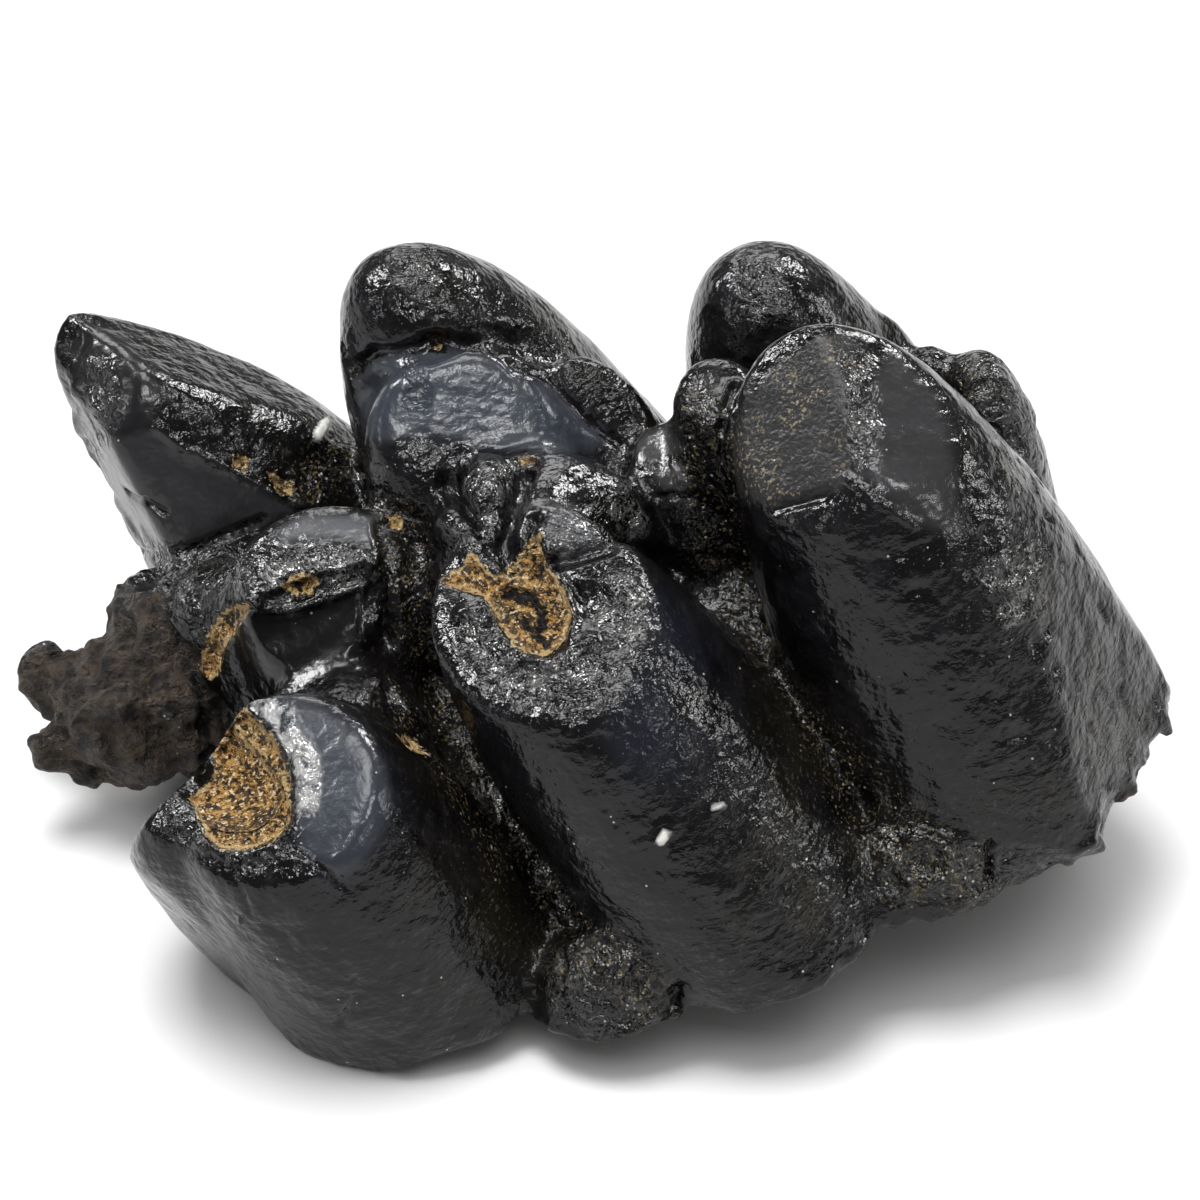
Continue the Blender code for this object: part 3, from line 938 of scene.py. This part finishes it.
ENAMEL = rgb(0.0020, 0.0019, 0.0023)
ENAMEL_CLOUD = rgb(0.0052, 0.0046, 0.0054)
ENAMEL_MOTTLE = rgb(0.0105, 0.0093, 0.0106)
OLIVE = rgb(0.014, 0.012, 0.006)
# Bluish tone: partly the worn enamel's own, partly a painted sheen.
BLUE_TINT_AND_SHEEN = rgb(0.012, 0.0135, 0.020)
# Worn faces painted pale: partly their own paler wear, partly a painted sheen.
PALE_WEAR_AND_SHEEN = rgb(0.095, 0.096, 0.102)
BLUE_WEAR_AND_SHEEN = rgb(0.072, 0.086, 0.112)
# Pale worn enamel in the folded foil's veins, and partly painted glints.
WORN_WHITE_AND_GLINT = rgb(0.30, 0.30, 0.29)
# A painted highlight: the bright streak on the near front cusp, painted white.
STREAK_PAINTED_HIGHLIGHT = rgb(0.44, 0.44, 0.43)
# Painted glints: faint pale veins on the crumpled domes, bands and beads.
TRACE_PAINTED_GLINT = rgb(0.22, 0.22, 0.21)
DIRT = rgb(0.16, 0.125, 0.055)
BROWN_GRAINS = rgb(0.21, 0.17, 0.11)
DUST_IN_LINES = rgb(0.10, 0.095, 0.075)
EARTH_DARK = rgb(0.006, 0.0040, 0.003)
EARTH_LIGHT = rgb(0.075, 0.054, 0.037)
EARTH_CRACK = rgb(0.003, 0.002, 0.0015)
GOLD_DARK = rgb(0.040, 0.018, 0.006)
GOLD = rgb(0.60, 0.33, 0.09)
# Painted shade in the dentine's holes.
GOLD_HOLE_SHADE = rgb(0.020, 0.009, 0.004)
GOLD_CRACK = rgb(0.004, 0.0025, 0.0015)
# Painted highlights on the dentine's crests.
GOLD_CREST_HIGHLIGHT = rgb(0.85, 0.68, 0.42)
# Painted highlight along the bare dentine's lip.
GOLD_LIP_HIGHLIGHT = rgb(0.62, 0.44, 0.20)
LIP_SHADE = rgb(0.004, 0.003, 0.002)
# Painted shade in cracks and sunk holes.
HOLLOW = rgb(0.003, 0.002, 0.002)
DUST = rgb(0.55, 0.54, 0.50)
CLAY = rgb(0.75, 0.74, 0.70)

# How gently each area's edge fades, in mm.
EDGES = {"silver": 0.6, "crumpled": 1.0, "streak": 0.9, "speckled": 0.8, "sheen": 1.0, "blue": 2.5}
PLAIN_MASKS = ("stub", "grit", "crack", "chip", "lined", "pale")
ENAMEL_IOR = 1.37


def fossil_material():
    material = bpy.data.materials.new("fossil_enamel_dressed")
    n = Nodes(material)
    n.place = n.upright()
    m = shader_masks(n)
    t = shader_textures(n)
    whites = worn_whites_and_painted_glints(n, m, t)
    colour = enamel_colour(n, m, t)
    colour = with_whites(n, whites, colour)
    colour = with_dirt(n, m, t, colour)
    colour = n.mixed(m.stub, colour, earth_colour(n))
    colour = n.mixed(m.dentine, colour, gold_colour(n))
    colour = with_gold_edges(n, m, colour)
    colour = with_hollows_and_dust(n, m, colour)
    n.put(n.shader.inputs["Base Color"], colour)
    glint = n.math("MULTIPLY", n.math("MAXIMUM", whites.worn, whites.traces), 0.9)
    n.put(n.shader.inputs["Metallic"], n.math("MULTIPLY", glint, m.enamel))
    n.put(n.shader.inputs["Roughness"], surface_roughness(n, m, t))
    n.shader.inputs["IOR"].default_value = ENAMEL_IOR
    n.put(n.shader.inputs["Normal"], surface_normal(n, m, t))
    return material


def shader_masks(n):
    """Where each kind of surface is, from 0 to 1, with edges that noise makes ragged."""
    torn = n.grain(0.9, 3, 0.6)
    wander = n.math("MULTIPLY_ADD", n.grain(3.5, 3), 2.4, -1.2)
    bare_depth = n.math("ADD", n.attribute("dentine"), n.math("MULTIPLY_ADD", torn, 1.6, -0.8))
    masks = {name: n.edge(n.attribute(name), wander, softness) for name, softness in EDGES.items()}
    masks.update((name, n.attribute(name)) for name in PLAIN_MASKS)
    m = SimpleNamespace(torn=torn, bare_depth=bare_depth, dentine=n.step(bare_depth, -0.15, 0.15), **masks)
    m.enamel = n.math("SUBTRACT", 1.0, n.math("MAXIMUM", m.stub, m.dentine))
    return m


def shader_textures(n):
    """The noises that more than one property uses."""
    straight = n.place
    n.place = n.swayed(1.6, 4.0)
    growth_lines = n.grain(1.0, 3, 0.5, (0.65, 0.65, 1.9))
    n.place = n.swayed(2.0, 2.6)
    curl = n.grain(2.2, 3, 0.5)
    n.place = straight
    return SimpleNamespace(
        growth_lines=growth_lines,
        curl=curl,
        cloud=n.grain(9, 2),
        mottle=n.grain(2.6, 3, 0.6),
        fine=n.grain(0.8, 3, 0.6),
        speck=n.grain(0.45, 2),
    )


def worn_whites_and_painted_glints(n, m, t):
    """Three kinds of pale marks: the folded foil, pale worn enamel with painted glints; its fainter
    traces, painted glints; and the bright streak, a painted highlight.
    """
    veins = n.math("MAXIMUM", n.ridge(t.curl, 0.035), n.math("MULTIPLY", n.ridge(t.fine, 0.03), 0.7))
    patches = n.step(n.math("MULTIPLY", t.mottle, n.grain(1.1, 3, 0.6)), 0.26, 0.34)
    whitish = n.math("MAXIMUM", n.math("MULTIPLY", veins, 0.75), n.math("MULTIPLY", patches, 0.22))
    here_and_there = n.step(n.grain(3.2, 2), 0.43, 0.58)
    broken = n.step(n.grain(1.7, 3, 0.6), 0.40, 0.56)
    # worn: pale veins, partly worn enamel and partly painted glints; traces: faint painted glints; streak:
    # a painted highlight.
    return SimpleNamespace(
        worn=n.math("MULTIPLY", n.math("MULTIPLY", m.silver, whitish), here_and_there),
        traces=n.math("MULTIPLY", n.math("MULTIPLY", m.crumpled, whitish), 0.25),
        streak=n.math("MULTIPLY", n.math("MULTIPLY", m.streak, broken), 0.8),
    )


def enamel_colour(n, m, t):
    colour = n.mixed(n.step(t.cloud, 0.35, 0.7), ENAMEL, ENAMEL_CLOUD)
    colour = n.mixed(n.step(t.mottle, 0.50, 0.72), colour, ENAMEL_MOTTLE)
    olive = n.math("MULTIPLY", m.lined, n.step(n.grain(7, 2), 0.35, 0.65))
    colour = n.mixed(olive, colour, OLIVE)
    # A bluish sheen painted on the worn faces, partly their own blue-grey.
    colour = n.mixed(n.math("MULTIPLY", m.blue, n.step(t.cloud, 0.3, 0.6)), colour, BLUE_TINT_AND_SHEEN)
    # A pale sheen painted on the worn faces, partly their own paler wear.
    wear_and_sheen = n.math("MULTIPLY", m.pale, n.blended(t.mottle, 0.55, 1.2))
    return n.mixed(wear_and_sheen, colour, n.mixed(m.blue, PALE_WEAR_AND_SHEEN, BLUE_WEAR_AND_SHEEN))


def with_whites(n, whites, colour):
    # Paints the pale veins into the colour, partly as painted glints.
    colour = n.mixed(whites.worn, colour, WORN_WHITE_AND_GLINT)
    # The streak: a painted highlight.
    colour = n.mixed(whites.streak, colour, STREAK_PAINTED_HIGHLIGHT)
    # Faint painted glints on the crumpled areas.
    return n.mixed(whites.traces, colour, TRACE_PAINTED_GLINT)


def with_dirt(n, m, t, colour):
    dirt = n.math("MULTIPLY", n.math("MULTIPLY", m.grit, 0.75), n.step(t.speck, 0.56, 0.66))
    colour = n.mixed(dirt, colour, DIRT)
    strewn = n.math("MULTIPLY", n.step(n.grain(5, 1), 0.42, 0.60), n.step(n.grain(0.42, 2), 0.56, 0.64))
    grains = n.math("MULTIPLY", n.math("MULTIPLY", m.speckled, strewn), 0.9)
    colour = n.mixed(grains, colour, BROWN_GRAINS)
    in_lines = n.step(n.math("MULTIPLY", t.growth_lines, t.speck), 0.31, 0.40)
    in_lines = n.math("MULTIPLY", n.math("MULTIPLY", m.lined, in_lines), 0.5)
    return n.mixed(in_lines, colour, DUST_IN_LINES)


def earth_colour(n):
    """The broken root: brown, in lighter and darker lumps, with dark cracks."""
    earth = n.mixed(n.step(n.grain(2.2, 4), 0.35, 0.65), EARTH_DARK, EARTH_LIGHT)
    return n.mixed(n.ridge(n.grain(4.0, 3, 0.6, (0.6, 0.6, 1.5)), 0.02), earth, EARTH_CRACK)


def gold_colour(n):
    """The bare dentine: gold fibres with dark cracks, painted shade in its holes and painted highlights on
    lighter crests.
    """
    fibre = n.grain(0.55, 3, 0.7, (0.6, 0.6, 1.4))
    small, large = n.step(n.grain(1.5, 3, 0.5), 0.55, 0.62), n.step(n.grain(4.0, 2), 0.54, 0.66)
    gold = n.mixed(n.step(fibre, 0.42, 0.56), GOLD_DARK, GOLD)
    # Painted shade: dark holes in the dentine.
    gold = n.mixed(n.math("MULTIPLY", n.math("MAXIMUM", small, large), 0.85), gold, GOLD_HOLE_SHADE)
    gold = n.mixed(n.ridge(n.grain(1.9, 4, 0.7), 0.022), gold, GOLD_CRACK)
    # Painted highlights: light specks on the crests.
    return n.mixed(n.step(n.grain(0.45, 2), 0.56, 0.64), gold, GOLD_CREST_HIGHLIGHT)


def with_gold_edges(n, m, colour):
    """A broken painted highlight along a lip just inside the bare dentine, and a line of painted shade
    just outside it.
    """
    shown = n.math("SUBTRACT", 1.0, m.stub)
    broken = n.math("MULTIPLY", shown, n.step(n.grain(1.3, 3), 0.42, 0.52))
    # A painted highlight on the lip.
    lip = n.math("MULTIPLY", n.rim(n.math("SUBTRACT", m.bare_depth, 0.30), 0.30), broken)
    colour = n.mixed(lip, colour, GOLD_LIP_HIGHLIGHT)
    shade = n.math("MULTIPLY", n.rim(n.math("ADD", m.bare_depth, 0.35), 0.45), shown)
    return n.mixed(n.math("MULTIPLY", shade, 0.9), colour, LIP_SHADE)


def with_hollows_and_dust(n, m, colour):
    """Painted shade in the pressed cracks and the sunk dark spots, with torn edges, then white dust and
    chips of clay.
    """
    # Painted shade along the pressed cracks and in the sunk dark spots.
    hollow = n.math("MULTIPLY_ADD", m.torn, 3.6, n.math("SUBTRACT", m.crack, 1.8))
    hollow = n.math("MULTIPLY", n.step(hollow, 0.35, 0.55), n.step(m.crack, 0.05, 0.2))
    colour = n.mixed(hollow, colour, HOLLOW)
    dust = n.math("MAXIMUM", n.specks(2.2, 0.045), n.math("MULTIPLY", m.grit, n.specks(1.0, 0.13)))
    colour = n.mixed(n.math("MULTIPLY", dust, 0.8), colour, DUST)
    return n.mixed(m.chip, colour, CLAY)


def surface_roughness(n, m, t):
    rough = n.blended(n.step(t.mottle, 0.35, 0.7), 0.10, 0.21)
    layers = (
        (m.sheen, 0.23),
        (m.speckled, 0.36),
        (n.math("MAXIMUM", m.silver, m.crumpled), 0.10),
        (m.grit, 0.20),
        (n.math("MULTIPLY", m.lined, 0.7), 0.17),
        (m.stub, 0.46),
        (m.dentine, 0.42),
        (m.chip, 0.9),
    )
    for mask, value in layers:
        rough = n.blended(mask, rough, value)
    return rough


def surface_normal(n, m, t):
    """The relief too fine for the mesh. Each layer has a height in mm and a strength."""
    calm = n.math("SUBTRACT", 1.0, n.math("MULTIPLY", m.sheen, 0.65))
    woven = n.math("MULTIPLY_ADD", m.lined, 0.70, 0.12)
    folded = n.math("MAXIMUM", n.math("MAXIMUM", m.silver, m.crumpled), n.math("MULTIPLY", m.grit, 0.9))
    layers = (
        (t.growth_lines, 0.34, n.math("MULTIPLY", woven, n.math("MULTIPLY", m.enamel, calm))),
        (n.grain(3.0, 2, 0.5), 0.80, n.math("MULTIPLY", calm, 0.75)),
        (n.grain(1.0, 3, 0.6), 0.22, n.math("MULTIPLY", calm, 0.8)),
        (t.curl, 1.6, n.math("MULTIPLY", folded, m.enamel)),
        (t.speck, 0.10, n.math("MAXIMUM", m.speckled, n.math("MULTIPLY", m.grit, 0.7))),
        (n.grain(1.1, 4, 0.7), 1.9, n.math("MAXIMUM", m.stub, m.dentine)),
    )
    normal = None
    for height, distance_mm, strength in layers:
        normal = n.bump(height, distance_mm, strength, normal)
    return normal


def dressed_tooth():
    body = finer(tooth_body())
    mesh = body.data
    hollow_out(mesh)
    crease(mesh)
    roughen(mesh)
    picture = Picture(mesh)
    press_fine_marks(mesh, picture)
    work_surface(mesh, masks_of(points_of(mesh), normals_of(mesh), picture))
    tooth = thinned(body, MOST_TRIANGLES)
    picture = Picture(tooth.data)
    keep_masks(tooth.data, masks_of(points_of(tooth.data), normals_of(tooth.data), picture))
    tooth = laid_down(tooth, "tooth_dressed")
    within_box(tooth)
    tooth.data.materials.append(fossil_material())
    bpy.context.scene.collection.objects.link(tooth)
    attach(tooth, "root")
    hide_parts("tooth")
    return tooth


def add_floor():
    bm = bmesh.new()
    bmesh.ops.create_grid(bm, x_segments=1, y_segments=1, size=FLOOR_HALF_SIDE)
    floor = object_of(bm, "floor")
    material = bpy.data.materials.new("floor_white")
    material.use_nodes = True
    shader = material.node_tree.nodes["Principled BSDF"]
    shader.inputs["Base Color"].default_value = FLOOR_COLOUR
    shader.inputs["Roughness"].default_value = 0.9
    floor.data.materials.append(material)
    bpy.context.scene.collection.objects.link(floor)


def add_softbox(name, way, distance, side, brightness, seen):
    """A square lamp that faces the tooth."""
    light = bpy.data.lights.new(name, "AREA")
    light.shape = "SQUARE"
    light.size = side
    light.energy = brightness * math.pi * side * side
    lamp = bpy.data.objects.new(name, light)
    lamp.location = Vector(way).normalized() * distance
    lamp.rotation_mode = "QUATERNION"
    lamp.rotation_quaternion = Vector(way).to_track_quat("Z", "Y")
    lamp.visible_glossy = seen != "lit"
    lamp.visible_diffuse = seen != "mirrored"
    bpy.context.scene.collection.objects.link(lamp)


def add_studio():
    world = bpy.data.worlds.new("studio")
    world.use_nodes = True
    world.node_tree.nodes["Background"].inputs["Color"].default_value = (1, 1, 1, 1)
    world.node_tree.nodes["Background"].inputs["Strength"].default_value = WORLD_STRENGTH
    bpy.context.scene.world = world
    bpy.context.scene.view_settings.view_transform = "Standard"
    for softbox in SOFTBOXES:
        add_softbox(*softbox)


def add_camera():
    lens = bpy.data.cameras.new("camera")
    lens.lens = LENS_MM
    lens.sensor_width = SENSOR_MM
    lens.clip_start = 0.01
    camera = bpy.data.objects.new("camera", lens)
    camera.location = CAMERA_AT
    camera.rotation_mode = "QUATERNION"
    camera.rotation_quaternion = camera_turn()
    bpy.context.scene.collection.objects.link(camera)
    bpy.context.scene.camera = camera


add_camera()
add_floor()
add_studio()
dressed_tooth()
